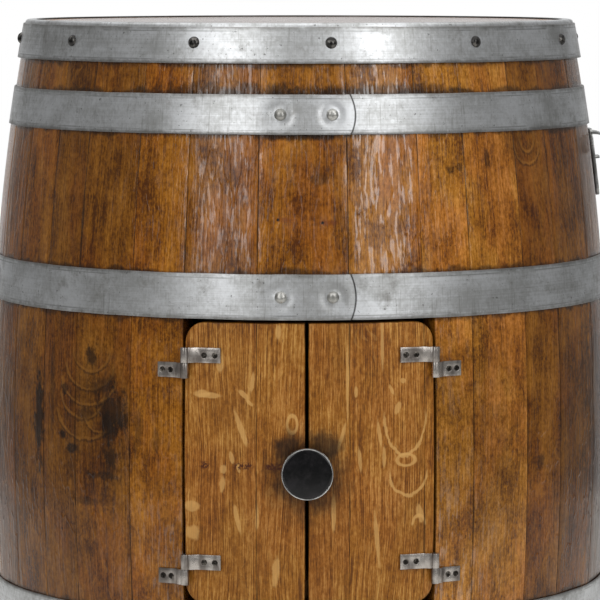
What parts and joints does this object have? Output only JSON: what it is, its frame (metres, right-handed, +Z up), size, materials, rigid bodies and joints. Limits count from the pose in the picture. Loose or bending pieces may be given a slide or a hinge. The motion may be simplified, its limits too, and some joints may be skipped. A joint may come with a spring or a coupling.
{
  "type": "barrel bar cabinet",
  "caption": "Oak barrel bar cabinet: hooped staves, lacquered top for drinks, two hinged doors cut from the staves, bottle space inside.",
  "frame": {"origin": "centre of the steel ring that the barrel stands on", "axes": "+Z up along the barrel's axis; the doors face -Y; the bottle opener is on the +X side"},
  "size_m": [0.6777, 0.6879, 0.89],
  "materials": {
    "stave_oak": "aged oak under satin varnish",
    "lacquered_oak": "oak under gloss lacquer",
    "head_oak": "sawn oak",
    "inside_oak": "planed oak, oiled",
    "galvanised_steel": "galvanised, mottled",
    "galvanised_rivet": "galvanised, worn",
    "dark_nail": "darkened steel",
    "hinge_steel": "satin stainless steel",
    "screw_steel": "dull steel",
    "knob_steel": "polished edge",
    "black_enamel": "gloss black",
    "nickel": "nickel-plated",
    "opener_steel": "satin steel"
  },
  "bodies": {
    "cask": {"bar_top": "lacquered_oak", "bottle_opener": "opener_steel", "bottom_bilge_hoop": "galvanised_steel", "bottom_head": "head_oak", "bottom_head_hoop": "galvanised_steel", "bottom_quarter_hoop": "galvanised_steel", "door_magnets": "nickel", "floor_boards": "inside_oak", "floor_ledgers": "inside_oak", "frame_hinge_leaves": "hinge_steel", "frame_screws": "screw_steel", "hinge_pins": "hinge_steel", "hoop_nails": "dark_nail", "hoop_rivets": "galvanised_rivet", "short_staves_above_doors": "stave_oak", "short_staves_below_doors": "stave_oak", "stave_01": "stave_oak", "stave_02": "stave_oak", "stave_03": "stave_oak", "stave_04": "stave_oak", "stave_05": "stave_oak", "stave_06": "stave_oak", "stave_07": "stave_oak", "stave_08": "stave_oak", "stave_09": "stave_oak", "stave_10": "stave_oak", "stave_11": "stave_oak", "stave_12": "stave_oak", "stave_13": "stave_oak", "stave_14": "stave_oak", "stave_15": "stave_oak", "stave_16": "stave_oak", "stave_17": "stave_oak", "stave_18": "stave_oak", "stave_19": "stave_oak", "stave_20": "stave_oak", "stave_21": "stave_oak", "stave_22": "stave_oak", "stave_23": "stave_oak", "stave_24": "stave_oak", "stave_25": "stave_oak", "top_bilge_hoop": "galvanised_steel", "top_head": "head_oak", "top_head_hoop": "galvanised_steel", "top_quarter_hoop": "galvanised_steel"},
    "left_door": {"left_door_battens": "inside_oak", "left_door_hinge_leaves": "hinge_steel", "left_door_hinge_screws": "screw_steel", "left_door_inner_stave": "stave_oak", "left_door_outer_stave": "stave_oak", "left_door_strike": "nickel"},
    "right_door": {"knob_body": "knob_steel", "knob_face": "black_enamel", "right_door_battens": "inside_oak", "right_door_edge_strip": "stave_oak", "right_door_hinge_leaves": "hinge_steel", "right_door_hinge_screws": "screw_steel", "right_door_inner_stave": "stave_oak", "right_door_outer_stave": "stave_oak", "right_door_strike": "nickel"}
  },
  "joints": [
    {"name": "right_door_hinge", "type": "hinge", "parent": "cask", "child": "right_door", "pos_m": [0.1299, -0.31205, 0.445], "axis": [0, 0, 1], "range_deg": [0, 165]},
    {"name": "left_door_hinge", "type": "hinge", "parent": "cask", "child": "left_door", "pos_m": [-0.12223, -0.31513, 0.445], "axis": [0, 0, 1], "range_deg": [-165, 0]}
  ],
  "couplings": [
    {"joint": "left_door_hinge", "follows": "right_door_hinge", "ratio": -1}
  ]
}
